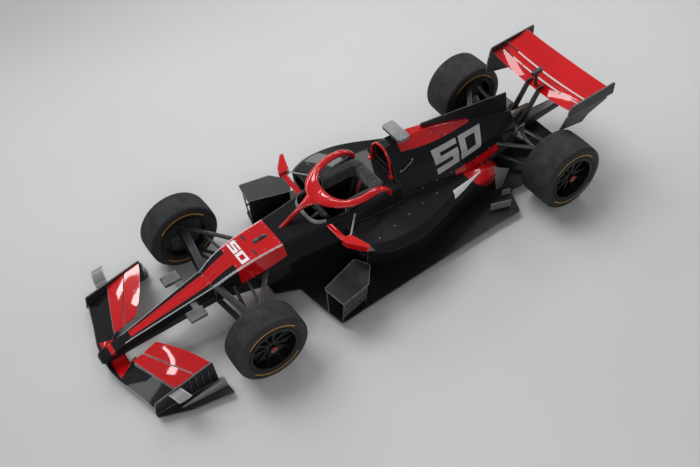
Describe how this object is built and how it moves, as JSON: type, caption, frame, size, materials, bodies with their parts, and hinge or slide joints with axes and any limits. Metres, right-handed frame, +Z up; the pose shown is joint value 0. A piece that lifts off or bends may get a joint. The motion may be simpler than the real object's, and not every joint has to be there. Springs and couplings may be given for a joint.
{
  "type": "formula one car",
  "caption": "Open-wheel single-seat racing car with a halo over its cockpit, multi-element wings, wishbone suspension, steered front wheels and tilting wing flaps",
  "frame": {"origin": "on the ground, midway between nose tip and rear wing tail, on the centre line", "axes": "+X forward along the car, +Y to its left, +Z up"},
  "size_m": [5.4387, 1.9, 1.0979],
  "materials": {
    "carbon": "satin black carbon fibre",
    "red_paint": "red painted carbon fibre",
    "satin_dark": "dark grey composite",
    "steel": "heat-tinted steel",
    "alloy": "machined alloy",
    "tyre": "slick racing rubber",
    "rim": "dark forged alloy",
    "padding": "covered foam",
    "seat_shell": "bare composite",
    "lamp": "red lamp lens",
    "belt": "red webbing"
  },
  "bodies": {
    "chassis": {"nose": "red_paint", "monocoque": "carbon", "headrest": "padding", "seat": "seat_shell", "harness": "belt", "steering_column": "satin_dark", "halo": "red_paint", "mirrors": "red_paint", "engine_cover": "red_paint", "shark_fin": "carbon", "onboard_camera": "satin_dark", "floor": "carbon", "floor_fins": "carbon", "plank": "seat_shell", "diffuser": "carbon", "bargeboards": "carbon", "sidepod_left": "carbon", "sidepod_right": "carbon", "power_unit": "alloy", "gearbox": "alloy", "crash_structure": "carbon", "rain_light": "lamp", "exhaust": "steel", "front_wing_mainplane": "carbon", "front_wing_endplates": "carbon", "nose_cameras": "satin_dark", "rear_wing_mainplane": "red_paint", "rear_wing_endplates": "carbon", "rear_wing_pylons": "carbon", "flap_actuator": "satin_dark", "front_wishbones": "satin_dark", "front_rods": "satin_dark", "rear_links": "satin_dark", "rear_uprights": "alloy"},
    "steering_wheel": {"steering_wheel": "satin_dark"},
    "front_knuckle_left": {"front_upright_left": "alloy"},
    "front_knuckle_right": {"front_upright_right": "alloy"},
    "front_wheel_left": {"front_tyre_left": "tyre", "front_rim_left": "rim"},
    "front_wheel_right": {"front_tyre_right": "tyre", "front_rim_right": "rim"},
    "rear_wheel_left": {"rear_tyre_left": "tyre", "rear_rim_left": "rim", "driveshaft_left": "steel"},
    "rear_wheel_right": {"rear_tyre_right": "tyre", "rear_rim_right": "rim", "driveshaft_right": "steel"},
    "front_flap_left": {"front_flap_left": "red_paint"},
    "front_flap_right": {"front_flap_right": "red_paint"},
    "rear_flap": {"rear_wing_flap": "red_paint"}
  },
  "joints": [
    {"name": "steer_left", "type": "hinge", "parent": "chassis", "child": "front_knuckle_left", "pos_m": [1.47, 0.7, 0.35], "axis": [0, 0, 1], "range_deg": [-20, 20]},
    {"name": "steer_right", "type": "hinge", "parent": "chassis", "child": "front_knuckle_right", "pos_m": [1.47, -0.7, 0.35], "axis": [0, 0, 1], "range_deg": [-20, 20]},
    {"name": "steering_wheel_turn", "type": "hinge", "parent": "chassis", "child": "steering_wheel", "pos_m": [0.36, 0, 0.585], "axis": [-0.9397, 0, 0.342], "range_deg": [-160, 160]},
    {"name": "front_wheel_left_spin", "type": "hinge", "parent": "front_knuckle_left", "child": "front_wheel_left", "pos_m": [1.47, 0.81, 0.3525], "axis": [0, 1, 0], "continuous": true},
    {"name": "front_wheel_right_spin", "type": "hinge", "parent": "front_knuckle_right", "child": "front_wheel_right", "pos_m": [1.47, -0.81, 0.3525], "axis": [0, 1, 0], "continuous": true},
    {"name": "rear_wheel_left_spin", "type": "hinge", "parent": "chassis", "child": "rear_wheel_left", "pos_m": [-1.93, 0.7625, 0.355], "axis": [0, 1, 0], "continuous": true},
    {"name": "rear_wheel_right_spin", "type": "hinge", "parent": "chassis", "child": "rear_wheel_right", "pos_m": [-1.93, -0.7625, 0.355], "axis": [0, 1, 0], "continuous": true},
    {"name": "front_flap_left_tilt", "type": "hinge", "parent": "chassis", "child": "front_flap_left", "pos_m": [2.4586, 0.19, 0.19048], "axis": [0.3651, -0.9289, -0.0625], "range_deg": [0, 14]},
    {"name": "front_flap_right_tilt", "type": "hinge", "parent": "chassis", "child": "front_flap_right", "pos_m": [2.4586, -0.19, 0.19048], "axis": [-0.3651, -0.9289, 0.0625], "range_deg": [0, 14]},
    {"name": "rear_flap_tilt", "type": "hinge", "parent": "chassis", "child": "rear_flap", "pos_m": [-2.53075, 0, 0.89352], "axis": [0, -1, 0], "range_deg": [0, 20]}
  ],
  "couplings": [
    {"joint": "steer_right", "follows": "steer_left", "ratio": 1},
    {"joint": "steering_wheel_turn", "follows": "steer_left", "ratio": 8},
    {"joint": "front_flap_right_tilt", "follows": "front_flap_left_tilt", "ratio": 1}
  ]
}
